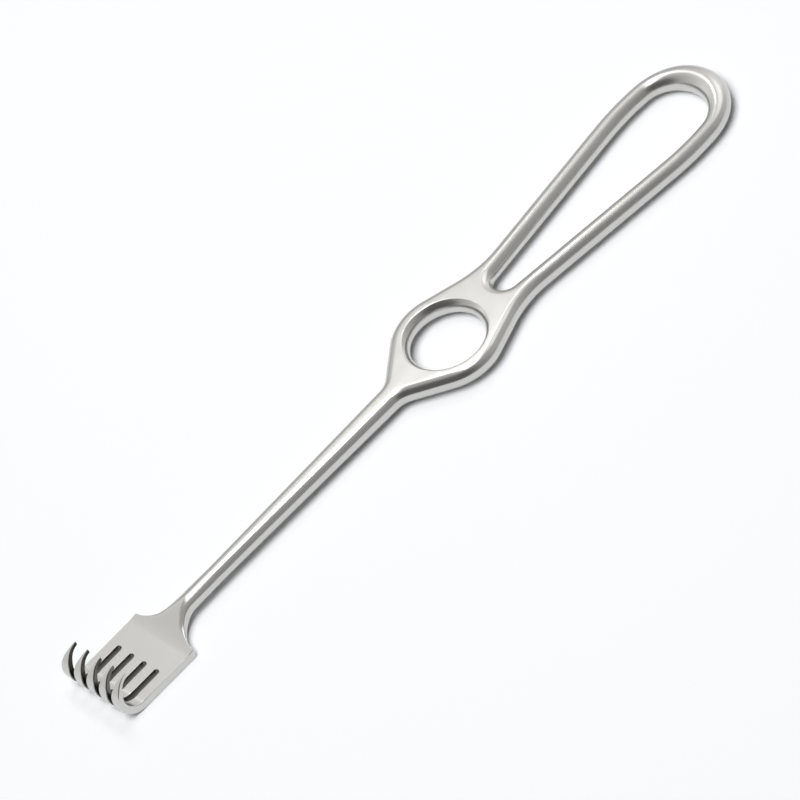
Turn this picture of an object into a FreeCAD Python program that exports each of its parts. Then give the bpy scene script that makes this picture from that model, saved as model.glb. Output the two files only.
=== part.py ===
import FreeCAD, Part
import math
import os
import Sketcher

# Rake retractor with five sharp prongs: a stainless steel hand instrument, 220 mm long.
# Frame: origin midway along the length on the surface that it lies on, X towards the grip
# loop, Z up. Blade and prongs lie flat on the surface. The handle slopes down to the end
# of the grip loop, which touches the surface too. All sizes are in millimetres and degrees.

doc = FreeCAD.newDocument("rake_retractor")
sheet = doc.addObject("Spreadsheet::Sheet", "sizes")

SIZES = {
    "overall_length": 220.0,
    # grip loop: a round rod bent into a teardrop, thickest at the far end
    "rail_diameter": 4.9,
    "rail_reach": 32.0,
    "rail_angle": 6.9,
    "bow_reach": 80.8,
    "bow_radius": 12.0,
    "bow_sweep": 85.0,
    "bow_diameter": 6.8,
    # finger ring, with the webs that run into the shaft and into the loop
    "ring_thickness": 5.0,
    "ring_outer_radius": 14.65,
    "finger_hole_radius": 9.65,
    "edge_radius": 2.44,
    "ring_lead": 22.0,
    "shaft_flank_angle": 39.0,
    "shaft_corner_radius": 6.0,
    "loop_flank_angle": 20.0,
    "loop_corner_radius": 28.0,
    "crotch_radius": 3.6,
    "crotch_reach": 21.3,
    # shaft: tapers down from the ring to the neck
    "shaft_root_width": 6.5,
    "shaft_tip_width": 4.55,
    "shaft_tip_height": 4.5,
    "shaft_tip_edge_radius": 2.2,
    # neck, shoulders and blade of the rake
    "neck_height": 3.95,
    "neck_length": 9.0,
    "neck_edge_radius": 1.1,
    "rise_lead": 2.1,
    "shoulder_length": 8.8,
    "blade_width": 21.0,
    "blade_length": 9.7,
    "blade_thickness": 2.35,
    "blade_edge_radius": 0.45,
    # prongs
    "slot_width": 1.55,
    "tine_length": 7.4,
    "hook_radius": 6.26,
    "hook_sweep": 177.0,
    "point_thickness": 0.8,
    "point_width": 0.3,
    "point_taper": 3.6,
}
for row, (alias, value) in enumerate(SIZES.items(), start=1):
    sheet.set(f"A{row}", alias)
    sheet.set(f"B{row}", str(value))
    sheet.setAlias(f"B{row}", alias)
doc.recompute()


def size(name):
    return float(sheet.get(name))


def rail_offset():
    """How far the rail's axis lies from the middle plane where the ring hands over to the loop."""
    slope = math.radians(size("rail_angle"))
    along = size("rail_reach") - size("crotch_reach")
    return along * math.tan(slope) + (size("crotch_radius") + size("rail_diameter") / 2) / math.cos(slope)


def bind(target, path, expression):
    """Tie one property to an expression in which @name is a cell of the sheet."""
    target.setExpression(path, expression.replace("@", "sizes."))


# Places that several pieces share, as expressions of the driving sizes.
PRONG_COUNT = 5
SLOT_COUNT = PRONG_COUNT - 1
PRONG_WIDTH = f"((@blade_width - {SLOT_COUNT} * @slot_width) / {PRONG_COUNT})"
PRONG_PITCH = f"({PRONG_WIDTH} + @slot_width)"
TINE_ROOT_X = "(-@overall_length / 2 + @hook_radius + @tine_length)"
NECK_X = f"({TINE_ROOT_X} + @blade_length + @shoulder_length + @neck_length)"
BOW_X = "(@overall_length / 2 - @bow_radius - @bow_diameter / 2)"
BOW_END_X = f"({BOW_X} + @bow_radius)"
RING_X = f"({BOW_X} - @bow_reach)"
HANDLE_TILT = f"asin((@neck_height - @bow_diameter / 2) / ({BOW_END_X} - {NECK_X}))"
RING_Z = f"(@neck_height - ({RING_X} - {NECK_X}) * tan({HANDLE_TILT}))"
SHAFT_TIP_X = f"(({NECK_X} - {RING_X}) / cos({HANDLE_TILT}))"
RAIL_OFFSET = ("((@rail_reach - @crotch_reach) * tan(@rail_angle * 1deg)"
               " + (@crotch_radius + @rail_diameter / 2) / cos(@rail_angle * 1deg))")
POINT_HEIGHT = "(@hook_radius * (1 - cos(@hook_sweep * 1deg)))"

# How sketch constraints name a curve's start, end and centre, the origin and the X axis.
START, END, CENTRE = range(1, 4)
ORIGIN = (-1, 1)
AXIS_X = -1

WASTE_MARGIN = 1.0    # how far a waste outline reaches past the metal that it cuts away
SAME_PLACE = 1e-4     # points nearer than this count as one
SHORT_EDGE = 0.1      # an edge that runs less than this along X goes across the blade
LEAST_CHANGE = 1e-3   # a feature that changes the volume by less has done nothing


def new_body(label):
    body = doc.addObject("PartDesign::Body", label)
    body.Label = label
    return body


def origin_feature(body, role):
    return next(f for f in body.Origin.OriginFeatures if f.Role == role)


def new_sketch(body, name, role):
    """An empty sketch on one of the body's own origin planes."""
    sketch = body.newObject("Sketcher::SketchObject", name)
    sketch.AttachmentSupport = [(origin_feature(body, role), "")]
    sketch.MapMode = "FlatFace"
    return sketch


def turned(axis):
    """A placement turned about an axis by a little, ready for its angle to be bound."""
    return FreeCAD.Placement(FreeCAD.Vector(0, 0, 0), FreeCAD.Rotation(FreeCAD.Vector(*axis), 1.0))


def feature(body, kind, label, **settings):
    made = body.newObject("PartDesign::" + kind, label)
    for name, value in settings.items():
        setattr(made, name, value)
    body.Tip = made
    return made


def mirror_across_middle(body, label, originals):
    """The same features on the other side of the lengthwise middle plane."""
    plane = (origin_feature(body, "XZ_Plane"), [""])
    return feature(body, "Mirrored", label, Originals=originals, MirrorPlane=plane, Refine=True)


def dimension(sketch, name, expression, *arguments):
    """A named driving dimension whose value comes from the sheet."""
    index = sketch.addConstraint(Sketcher.Constraint(*arguments))
    sketch.renameConstraint(index, name)
    bind(sketch, f"Constraints.{name}", expression)


def tie(sketch, kind, *arguments):
    sketch.addConstraint(Sketcher.Constraint(kind, *arguments))


def line(sketch, start, end):
    segment = Part.LineSegment(FreeCAD.Vector(*start, 0), FreeCAD.Vector(*end, 0))
    return sketch.addGeometry(segment, False)


def arc(sketch, centre, radius, first, last):
    """A counter-clockwise arc between two angles in degrees."""
    circle = Part.Circle(FreeCAD.Vector(*centre, 0), FreeCAD.Vector(0, 0, 1), radius)
    return sketch.addGeometry(Part.ArcOfCircle(circle, math.radians(first), math.radians(last)), False)


def circle_sketch(body, name, role, radius_expression):
    sketch = new_sketch(body, name, role)
    sketch.addGeometry(Part.Circle(FreeCAD.Vector(0, 0, 0), FreeCAD.Vector(0, 0, 1), 1.0), False)
    tie(sketch, "Coincident", 0, CENTRE, *ORIGIN)
    dimension(sketch, "radius", radius_expression, "Radius", 0, 1.0)
    return sketch


def rounded_section(body, name, width_expression, height_expression, radius_expression):
    """A rectangle with rounded corners, centred on the lengthwise axis."""
    sketch = new_sketch(body, name, "YZ_Plane")
    sides, corners = [], []
    for quarter in range(4):
        turn = math.radians(90 * quarter)
        out, across = (math.cos(turn), math.sin(turn)), (-math.sin(turn), math.cos(turn))
        ends = [tuple(2 * o + step * a for o, a in zip(out, across)) for step in (-1, 1)]
        sides.append(line(sketch, *ends))
        middle = tuple(o + a for o, a in zip(out, across))
        corners.append(arc(sketch, middle, 1, 90 * quarter, 90 * quarter + 90))
    for quarter in range(4):
        tie(sketch, "Tangent", sides[quarter], END, corners[quarter], START)
        tie(sketch, "Tangent", corners[quarter], END, sides[(quarter + 1) % 4], START)
        if quarter:
            tie(sketch, "Equal", corners[0], corners[quarter])
    tie(sketch, "Symmetric", corners[0], CENTRE, corners[2], CENTRE, *ORIGIN)
    for quarter, side in enumerate(sides):
        tie(sketch, "Horizontal" if quarter % 2 else "Vertical", side)
    dimension(sketch, "corner", radius_expression, "Radius", corners[0], 1.0)
    dimension(sketch, "centre_span", f"({width_expression}) - 2 * ({radius_expression})",
              "DistanceX", corners[1], CENTRE, corners[0], CENTRE, 2.0)
    dimension(sketch, "centre_rise", f"({height_expression}) - 2 * ({radius_expression})",
              "DistanceY", corners[3], CENTRE, corners[0], CENTRE, 2.0)
    return sketch


def place_on_handle(body):
    """Handle pieces are drawn about the ring's centre, then set on the sloping handle axis."""
    body.Placement = turned((0, 1, 0))
    bind(body, "Placement.Base.x", RING_X)
    bind(body, "Placement.Base.z", RING_Z)
    bind(body, "Placement.Rotation.Angle", HANDLE_TILT)


# Grip loop. Half of the teardrop is a rod swept along rail, shoulder arc and bow, and the
# other half is its mirror image. The rod swells along the bow to the far end.
def make_grip_loop():
    body = new_body("grip_loop")
    alpha = math.radians(size("rail_angle"))
    sweep = math.radians(size("bow_sweep"))
    reach, bow_radius = size("bow_reach"), size("bow_radius")
    seam = (size("rail_reach"), rail_offset())
    across = (-math.sin(alpha), math.cos(alpha))
    outward = (math.cos(sweep), math.sin(sweep))
    bow_start = (reach + bow_radius * outward[0], bow_radius * outward[1])
    lean = outward[0] * across[0] + outward[1] * across[1]
    stand = (seam[0] - reach) * across[0] + seam[1] * across[1]
    side_radius = (stand - bow_radius * lean) / (1 - lean)
    side_centre = tuple(b - side_radius * o for b, o in zip(bow_start, outward))
    rail_end = tuple(c + side_radius * a for c, a in zip(side_centre, across))

    path = new_sketch(body, "loop_path", "XY_Plane")
    rail = line(path, seam, rail_end)
    side = arc(path, side_centre, side_radius, size("bow_sweep"), 90 + size("rail_angle"))
    bow = arc(path, (reach, 0), bow_radius, 0, size("bow_sweep"))
    tie(path, "Tangent", rail, END, side, END)
    tie(path, "Tangent", side, START, bow, END)
    tie(path, "PointOnObject", bow, CENTRE, AXIS_X)
    tie(path, "PointOnObject", bow, START, AXIS_X)
    dimension(path, "seam_x", "@rail_reach", "DistanceX", *ORIGIN, rail, START, seam[0])
    dimension(path, "seam_y", RAIL_OFFSET, "DistanceY", *ORIGIN, rail, START, seam[1])
    dimension(path, "rail_slope", "@rail_angle * 1deg", "Angle", rail, alpha)
    dimension(path, "bow_x", "@bow_reach", "DistanceX", *ORIGIN, bow, CENTRE, reach)
    dimension(path, "bow_bend", "@bow_radius", "Radius", bow, bow_radius)
    dimension(path, "bow_rise", "@bow_radius * sin(@bow_sweep * 1deg)",
              "DistanceY", *ORIGIN, bow, END, bow_start[1])

    seam_section = circle_sketch(body, "seam_section", "YZ_Plane", "@rail_diameter / 2")
    seam_section.AttachmentOffset = turned((0, 1, 0))
    bind(seam_section, "AttachmentOffset.Base.x", RAIL_OFFSET)
    bind(seam_section, "AttachmentOffset.Base.z", "@rail_reach")
    bind(seam_section, "AttachmentOffset.Rotation.Angle", "@rail_angle")
    bow_section = circle_sketch(body, "bow_section", "YZ_Plane", "@rail_diameter / 2")
    bow_section.AttachmentOffset = turned((0, -1, 0))
    bind(bow_section, "AttachmentOffset.Base.x", "@bow_radius * sin(@bow_sweep * 1deg)")
    bind(bow_section, "AttachmentOffset.Base.z", "@bow_reach + @bow_radius * cos(@bow_sweep * 1deg)")
    bind(bow_section, "AttachmentOffset.Rotation.Angle", "90 - @bow_sweep")
    end_section = circle_sketch(body, "end_section", "XZ_Plane", "@bow_diameter / 2")
    bind(end_section, "AttachmentOffset.Base.x", "@bow_reach + @bow_radius")
    doc.recompute()

    rod = feature(body, "AdditivePipe", "rail_rod", Profile=seam_section,
                  Spine=(path, ["Edge1", "Edge2"]))
    doc.recompute()
    swelling = feature(body, "AdditivePipe", "bow_rod", Profile=bow_section,
                       Spine=(path, ["Edge3"]), Transformation="Multisection", Sections=[end_section])
    doc.recompute()
    mirror_across_middle(body, "both_rails", [rod, swelling])
    place_on_handle(body)
    return body


# Finger ring. One flat forging: half its outline is drawn from the shaft seam round the
# ring to the rail seam, mirrored, bored for the finger and rounded along every free edge.
def make_finger_ring():
    body = new_body("finger_ring")
    lead, half_shaft = size("ring_lead"), size("shaft_root_width") / 2
    ring = size("ring_outer_radius")
    flank, fall = math.radians(size("shaft_flank_angle")), math.radians(size("loop_flank_angle"))
    alpha, rod = math.radians(size("rail_angle")), size("rail_diameter") / 2
    neck_round, loop_round = size("shaft_corner_radius"), size("loop_corner_radius")
    crotch = size("crotch_radius")

    flank_top = (-ring * math.sin(flank), ring * math.cos(flank))
    corner_x = flank_top[0] - (flank_top[1] - half_shaft) / math.tan(flank)
    setback = neck_round * math.tan(flank / 2)
    stub_end = (corner_x - setback, half_shaft)
    flank_foot = (corner_x + setback * math.cos(flank), half_shaft + setback * math.sin(flank))
    fall_top = (ring * math.sin(fall), ring * math.cos(fall))
    rail_outer = (size("rail_reach") - rod * math.sin(alpha), rail_offset() + rod * math.cos(alpha))
    rail_inner = (size("rail_reach") + rod * math.sin(alpha), rail_offset() - rod * math.cos(alpha))
    rise = fall_top[1] + fall_top[0] * math.tan(fall) - rail_outer[1] + rail_outer[0] * math.tan(alpha)
    meet_x = rise / (math.tan(fall) + math.tan(alpha))
    meet_y = rail_outer[1] + (meet_x - rail_outer[0]) * math.tan(alpha)
    spread = loop_round * math.tan((fall + alpha) / 2)
    fall_foot = (meet_x - spread * math.cos(fall), meet_y + spread * math.sin(fall))
    rail_foot = (meet_x + spread * math.cos(alpha), meet_y + spread * math.sin(alpha))
    loop_centre = (rail_foot[0] - loop_round * math.sin(alpha), rail_foot[1] + loop_round * math.cos(alpha))
    crotch_x = size("crotch_reach")
    crotch_top = (crotch_x - crotch * math.sin(alpha), crotch * math.cos(alpha))

    sketch = new_sketch(body, "half_outline", "XY_Plane")
    seam = line(sketch, (-lead, 0), (-lead, half_shaft))
    stub = line(sketch, (-lead, half_shaft), stub_end)
    corner = arc(sketch, (stub_end[0], half_shaft + neck_round), neck_round, 270,
                 270 + size("shaft_flank_angle"))
    flank_line = line(sketch, flank_foot, flank_top)
    ring_arc = arc(sketch, (0, 0), ring, 90 - size("loop_flank_angle"), 90 + size("shaft_flank_angle"))
    fall_line = line(sketch, fall_top, fall_foot)
    sweep = arc(sketch, loop_centre, loop_round, 270 - size("loop_flank_angle"), 270 + size("rail_angle"))
    outer = line(sketch, rail_foot, rail_outer)
    rail_seam = line(sketch, rail_outer, rail_inner)
    inner = line(sketch, rail_inner, crotch_top)
    crotch_arc = arc(sketch, (crotch_x, 0), crotch, 90 + size("rail_angle"), 180)
    middle = line(sketch, (crotch_x - crotch, 0), (-lead, 0))

    for first, first_end, second, second_end in (
        (seam, END, stub, START), (outer, END, rail_seam, START), (rail_seam, END, inner, START),
        (crotch_arc, END, middle, START), (middle, END, seam, START),
    ):
        tie(sketch, "Coincident", first, first_end, second, second_end)
    for first, first_end, second, second_end in (
        (stub, END, corner, START), (corner, END, flank_line, START), (flank_line, END, ring_arc, END),
        (ring_arc, START, fall_line, START), (fall_line, END, sweep, START),
        (sweep, END, outer, START), (inner, END, crotch_arc, START),
    ):
        tie(sketch, "Tangent", first, first_end, second, second_end)
    tie(sketch, "Vertical", seam)
    tie(sketch, "Horizontal", stub)
    tie(sketch, "Horizontal", middle)
    tie(sketch, "PointOnObject", seam, START, AXIS_X)
    tie(sketch, "Coincident", ring_arc, CENTRE, *ORIGIN)
    tie(sketch, "PointOnObject", crotch_arc, CENTRE, AXIS_X)
    tie(sketch, "Perpendicular", outer, rail_seam)
    tie(sketch, "Parallel", outer, inner)
    dimension(sketch, "lead", "@ring_lead", "DistanceX", seam, START, *ORIGIN, lead)
    dimension(sketch, "half_shaft", "@shaft_root_width / 2", "DistanceY", seam, START, seam, END, half_shaft)
    dimension(sketch, "neck_round", "@shaft_corner_radius", "Radius", corner, neck_round)
    dimension(sketch, "ring_radius", "@ring_outer_radius", "Radius", ring_arc, ring)
    dimension(sketch, "loop_round", "@loop_corner_radius", "Radius", sweep, loop_round)
    dimension(sketch, "crotch_x", "@crotch_reach", "DistanceX", *ORIGIN, crotch_arc, CENTRE, crotch_x)
    dimension(sketch, "flank", "@shaft_flank_angle * 1deg", "Angle", flank_line, flank)
    dimension(sketch, "fall", "-@loop_flank_angle * 1deg", "Angle", fall_line, -fall)
    dimension(sketch, "rail_slope", "@rail_angle * 1deg", "Angle", outer, alpha)
    dimension(sketch, "rail_width", "@rail_diameter", "Distance", rail_seam, 2 * rod)
    dimension(sketch, "rail_x", "@rail_reach - @rail_diameter / 2 * sin(@rail_angle * 1deg)",
              "DistanceX", *ORIGIN, outer, END, rail_outer[0])
    dimension(sketch, "rail_y", RAIL_OFFSET + " + @rail_diameter / 2 * cos(@rail_angle * 1deg)",
              "DistanceY", *ORIGIN, outer, END, rail_outer[1])
    doc.recompute()

    half = feature(body, "Pad", "half_forging", Profile=sketch, Midplane=True)
    bind(half, "Length", "@ring_thickness")
    doc.recompute()
    mirror_across_middle(body, "forging", [half])
    doc.recompute()
    bore = circle_sketch(body, "finger_bore", "XY_Plane", "@finger_hole_radius")
    doc.recompute()
    hole = feature(body, "Pocket", "finger_hole", Profile=bore, Type="ThroughAll", Midplane=True)
    doc.recompute()

    level = size("ring_thickness") / 2
    along, aside = math.cos(alpha), math.sin(alpha)
    rail_station = size("rail_reach") * along + rail_offset() * aside

    def on_free_edge(point):
        on_face = abs(abs(point.z) - level) < SAME_PLACE
        on_shaft_seam = abs(point.x + lead) < SAME_PLACE
        on_rail_seam = abs(point.x * along + abs(point.y) * aside - rail_station) < SAME_PLACE
        return on_face and not on_shaft_seam and not on_rail_seam

    names = []
    for number, edge in enumerate(hole.Shape.Edges, start=1):
        middle_point = edge.valueAt((edge.FirstParameter + edge.LastParameter) / 2)
        if on_free_edge(middle_point):
            names.append(f"Edge{number}")
    rounding = feature(body, "Fillet", "rounded_edges", Base=(hole, names))
    bind(rounding, "Radius", "@edge_radius")
    place_on_handle(body)
    return body


# Shaft: a tapering bar, nearly round at the neck and wider than it is thick at the ring.
def make_shaft():
    body = new_body("shaft")
    root = rounded_section(body, "root_section", "@shaft_root_width", "@ring_thickness", "@edge_radius")
    bind(root, "AttachmentOffset.Base.z", "-@ring_lead")
    tip = rounded_section(body, "tip_section", "@shaft_tip_width", "@shaft_tip_height",
                          "@shaft_tip_edge_radius")
    bind(tip, "AttachmentOffset.Base.z", SHAFT_TIP_X)
    doc.recompute()
    feature(body, "AdditiveLoft", "taper", Profile=root, Sections=[tip], Ruled=True)
    place_on_handle(body)
    return body


# Rake plate: a flat blade with the round ends of the slots in its front edge, and hollow
# shoulders. Behind the slots it rises in an S-bend and thickens into the neck. The neck's
# squarish section turns nearly round where it meets the shaft.
def make_rake_plate():
    body = new_body("rake_plate")
    length, shoulder, thickness = size("blade_length"), size("shoulder_length"), size("blade_thickness")
    half_blade, half_neck = size("blade_width") / 2, size("shaft_tip_width") / 2
    start, axis, half_height = length - size("rise_lead"), size("neck_height"), size("shaft_tip_height") / 2
    neck_start = length + shoulder
    run = neck_start - start

    def bend(level, lift):
        """Two equal arcs that carry a flat face up by the lift, and their common radius."""
        turn = 2 * math.degrees(math.atan2(lift, run))
        radius = run / (2 * math.sin(math.radians(turn)))
        lower = arc(side_view, (start, level + radius), radius, 270, 270 + turn)
        upper = arc(side_view, (neck_start, level + lift - radius), radius, 90, 90 + turn)
        return lower, upper

    side_view = new_sketch(body, "side_view", "XZ_Plane")
    bottom = line(side_view, (0, 0), (start, 0))
    low_first, low_last = bend(0, axis - half_height)
    end = line(side_view, (neck_start, axis - half_height), (neck_start, axis + half_height))
    top_first, top_last = bend(thickness, axis + half_height - thickness)
    top = line(side_view, (start, thickness), (0, thickness))
    root = line(side_view, (0, thickness), (0, 0))
    tie(side_view, "Tangent", bottom, END, low_first, START)
    tie(side_view, "Tangent", low_first, END, low_last, END)
    tie(side_view, "Tangent", top_first, START, top, START)
    tie(side_view, "Tangent", top_first, END, top_last, END)
    tie(side_view, "Coincident", low_last, START, end, START)
    tie(side_view, "Coincident", top_last, START, end, END)
    tie(side_view, "Coincident", top, END, root, START)
    tie(side_view, "Coincident", root, END, bottom, START)
    tie(side_view, "Coincident", bottom, START, *ORIGIN)
    tie(side_view, "Equal", low_first, low_last)
    tie(side_view, "Equal", top_first, top_last)
    for segment in (bottom, top):
        tie(side_view, "Horizontal", segment)
    for segment in (root, end):
        tie(side_view, "Vertical", segment)
    tie(side_view, "Vertical", low_last, START, low_last, CENTRE)
    tie(side_view, "Vertical", top_last, START, top_last, CENTRE)
    tie(side_view, "Vertical", top_first, START, low_first, START)
    dimension(side_view, "rise_start", "@blade_length - @rise_lead",
              "DistanceX", bottom, START, bottom, END, start)
    dimension(side_view, "neck_x", "@blade_length + @shoulder_length",
              "DistanceX", *ORIGIN, end, START, neck_start)
    dimension(side_view, "thickness", "@blade_thickness", "DistanceY", root, END, root, START, thickness)
    dimension(side_view, "neck_bottom", "@neck_height - @shaft_tip_height / 2",
              "DistanceY", *ORIGIN, end, START, axis - half_height)
    dimension(side_view, "neck_top", "@neck_height + @shaft_tip_height / 2",
              "DistanceY", *ORIGIN, end, END, axis + half_height)
    doc.recompute()
    slab = feature(body, "Pad", "bent_slab", Profile=side_view, Midplane=True)
    bind(slab, "Length", "@blade_width")
    doc.recompute()

    drop = half_blade - half_neck
    hollow = (shoulder**2 + drop**2) / (2 * drop)
    waste = new_sketch(body, "shoulder_waste", "XY_Plane")
    corner_angle = math.degrees(math.atan2(drop - hollow, -shoulder)) % 360
    curve = arc(waste, (neck_start, half_neck + hollow), hollow, corner_angle, 270)
    waste_end, waste_side = neck_start + WASTE_MARGIN, half_blade + WASTE_MARGIN
    back = line(waste, (neck_start, half_neck), (waste_end, half_neck))
    behind = line(waste, (waste_end, half_neck), (waste_end, waste_side))
    beside = line(waste, (waste_end, waste_side), (length, waste_side))
    front = line(waste, (length, waste_side), (length, half_blade))
    outline = (curve, back, behind, beside, front)
    for first, second in zip(outline, outline[1:] + outline[:1]):
        tie(waste, "Coincident", first, END, second, START)
    for segment in (back, beside):
        tie(waste, "Horizontal", segment)
    for segment in (behind, front):
        tie(waste, "Vertical", segment)
    tie(waste, "Vertical", curve, CENTRE, curve, END)
    dimension(waste, "corner_x", "@blade_length", "DistanceX", *ORIGIN, curve, START, length)
    dimension(waste, "corner_y", "@blade_width / 2", "DistanceY", *ORIGIN, curve, START, half_blade)
    dimension(waste, "neck_x", "@blade_length + @shoulder_length",
              "DistanceX", *ORIGIN, curve, END, neck_start)
    dimension(waste, "neck_y", "@shaft_tip_width / 2", "DistanceY", *ORIGIN, curve, END, half_neck)
    dimension(waste, "back_margin", f"{WASTE_MARGIN}", "DistanceX", back, START, back, END, WASTE_MARGIN)
    dimension(waste, "side_margin", f"{WASTE_MARGIN}", "DistanceY", front, END, front, START, WASTE_MARGIN)
    doc.recompute()
    hollow_cut = feature(body, "Pocket", "hollow_shoulder", Profile=waste, Type="ThroughAll", Midplane=True)
    doc.recompute()
    hollows = mirror_across_middle(body, "hollow_shoulders", [hollow_cut])
    doc.recompute()

    def edges_beside(shape, first_x, last_x):
        """Long edges of the top and bottom faces between two stations."""
        names = []
        for number, edge in enumerate(shape.Edges, start=1):
            points = edge.discretize(5)
            lengthwise = max(p.x for p in points) - min(p.x for p in points) > SHORT_EDGE
            within = all(first_x - SAME_PLACE < p.x < last_x + SAME_PLACE for p in points)
            at_side = all(abs(p.y) > half_neck - SAME_PLACE for p in points)
            if lengthwise and within and at_side:
                names.append(f"Edge{number}")
        return names

    rounded = feature(body, "Fillet", "rounded_neck",
                      Base=(hollows, edges_beside(hollows.Shape, length, neck_start)))
    bind(rounded, "Radius", "@neck_edge_radius")
    doc.recompute()
    rims = feature(body, "Fillet", "soft_rims", Base=(rounded, edges_beside(rounded.Shape, 0, length)))
    bind(rims, "Radius", "@blade_edge_radius")
    doc.recompute()

    slot_end = circle_sketch(body, "slot_end", "XY_Plane", "@slot_width / 2")
    bind(slot_end, "AttachmentOffset.Base.y", f"-{SLOT_COUNT - 1} / 2 * {PRONG_PITCH}")
    doc.recompute()
    bite = feature(body, "Pocket", "slot_end_cut", Profile=slot_end, Type="ThroughAll", Midplane=True)
    doc.recompute()
    y_axis = (origin_feature(body, "Y_Axis"), [""])
    bites = feature(body, "LinearPattern", "slot_end_cuts", Originals=[bite], Direction=y_axis,
                    Occurrences=SLOT_COUNT)
    bind(bites, "Length", f"{SLOT_COUNT - 1} * {PRONG_PITCH}")
    doc.recompute()

    squarish = rounded_section(body, "squarish_end", "@shaft_tip_width", "@shaft_tip_height",
                               "@neck_edge_radius")
    bind(squarish, "AttachmentOffset.Base.y", "@neck_height")
    bind(squarish, "AttachmentOffset.Base.z", "@blade_length + @shoulder_length")
    round_end = rounded_section(body, "round_end", "@shaft_tip_width", "@shaft_tip_height",
                                "@shaft_tip_edge_radius")
    round_end.AttachmentOffset = turned((1, 0, 0))
    bind(round_end, "AttachmentOffset.Base.y", "@neck_height")
    bind(round_end, "AttachmentOffset.Base.z", "@blade_length + @shoulder_length + @neck_length")
    bind(round_end, "AttachmentOffset.Rotation.Angle", HANDLE_TILT)
    doc.recompute()
    feature(body, "AdditiveLoft", "neck", Profile=squarish, Sections=[round_end], Ruled=True)
    bind(body, "Placement.Base.x", TINE_ROOT_X)
    return body


# Prong: a tine with a hooked end. Its side view is padded to the tine's width; outer and
# inner arc close in on each other towards the point, and both sides are cut to an ogive.
def make_prong(number):
    body = new_body(f"prong_{number}")
    tine, thickness = size("tine_length"), size("blade_thickness")
    hook, sweep = size("hook_radius"), size("hook_sweep")
    inner = hook - (thickness + size("point_thickness")) / 2
    point_x = hook * math.sin(math.radians(sweep))
    inner_angle = 90 + math.degrees(math.asin(point_x / inner))

    sketch = new_sketch(body, "side_view", "XZ_Plane")
    bottom = line(sketch, (0, 0), (-tine, 0))
    outer_arc = arc(sketch, (-tine, hook), hook, 270 - sweep, 270)
    inner_arc = arc(sketch, (-tine, thickness + inner), inner, inner_angle, 270)
    point = line(sketch, (-tine - point_x, hook - hook * math.cos(math.radians(sweep))),
                 (-tine - point_x, thickness + inner + math.sqrt(inner**2 - point_x**2)))
    top = line(sketch, (-tine, thickness), (0, thickness))
    root = line(sketch, (0, thickness), (0, 0))
    tie(sketch, "Tangent", bottom, END, outer_arc, END)
    tie(sketch, "Tangent", inner_arc, END, top, START)
    tie(sketch, "Coincident", outer_arc, START, point, START)
    tie(sketch, "Coincident", point, END, inner_arc, START)
    tie(sketch, "Coincident", top, END, root, START)
    tie(sketch, "Coincident", root, END, bottom, START)
    tie(sketch, "Coincident", bottom, START, *ORIGIN)
    for segment in (bottom, top):
        tie(sketch, "Horizontal", segment)
    for segment in (point, root):
        tie(sketch, "Vertical", segment)
    tie(sketch, "Vertical", inner_arc, END, outer_arc, END)
    dimension(sketch, "tine", "@tine_length", "DistanceX", bottom, END, bottom, START, tine)
    dimension(sketch, "thickness", "@blade_thickness", "DistanceY", root, END, root, START, thickness)
    dimension(sketch, "hook", "@hook_radius", "Radius", outer_arc, hook)
    dimension(sketch, "inner_hook", "@hook_radius - (@blade_thickness + @point_thickness) / 2",
              "Radius", inner_arc, inner)
    dimension(sketch, "point_x", "@hook_radius * sin(@hook_sweep * 1deg)",
              "DistanceX", outer_arc, START, outer_arc, CENTRE, point_x)
    doc.recompute()
    blank = feature(body, "Pad", "hook_blank", Profile=sketch, Midplane=True)
    bind(blank, "Length", PRONG_WIDTH)
    doc.recompute()

    half = (size("blade_width") - SLOT_COUNT * size("slot_width")) / PRONG_COUNT / 2
    tip, taper = size("point_width") / 2, size("point_taper")
    height = hook - hook * math.cos(math.radians(sweep))
    spring = height - taper
    reach = half - tip
    ogive = (reach**2 + taper**2) / (2 * reach)
    waste = new_sketch(body, "ogive_waste", "YZ_Plane")
    curve = arc(waste, (half - ogive, spring), ogive, 0, math.degrees(math.atan2(taper, ogive - reach)))
    waste_side, waste_top = half + WASTE_MARGIN, height + WASTE_MARGIN
    inside = line(waste, (tip, height), (tip, waste_top))
    over = line(waste, (tip, waste_top), (waste_side, waste_top))
    outside = line(waste, (waste_side, waste_top), (waste_side, spring))
    under = line(waste, (waste_side, spring), (half, spring))
    for first, first_end, second, second_end in (
        (curve, END, inside, START), (inside, END, over, START), (over, END, outside, START),
        (outside, END, under, START), (under, END, curve, START),
    ):
        tie(waste, "Coincident", first, first_end, second, second_end)
    for segment in (inside, outside):
        tie(waste, "Vertical", segment)
    for segment in (over, under):
        tie(waste, "Horizontal", segment)
    tie(waste, "Horizontal", curve, CENTRE, curve, START)
    dimension(waste, "side", f"{PRONG_WIDTH} / 2", "DistanceX", *ORIGIN, curve, START, half)
    dimension(waste, "tip_side", "@point_width / 2", "DistanceX", *ORIGIN, curve, END, tip)
    dimension(waste, "tip_height", POINT_HEIGHT, "DistanceY", *ORIGIN, curve, END, height)
    dimension(waste, "taper", "@point_taper", "DistanceY", curve, START, curve, END, taper)
    dimension(waste, "over_margin", f"{WASTE_MARGIN}", "DistanceY", inside, START, inside, END, WASTE_MARGIN)
    dimension(waste, "side_margin", f"{WASTE_MARGIN}", "DistanceX", under, END, under, START, WASTE_MARGIN)
    doc.recompute()
    cut = feature(body, "Pocket", "ogive_side", Profile=waste, Type="ThroughAll", Midplane=True)
    doc.recompute()
    mirror_across_middle(body, "ogive", [cut])
    bind(body, "Placement.Base.x", TINE_ROOT_X)
    bind(body, "Placement.Base.y", f"({number} - {PRONG_COUNT + 1} / 2) * {PRONG_PITCH}")
    return body


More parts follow.
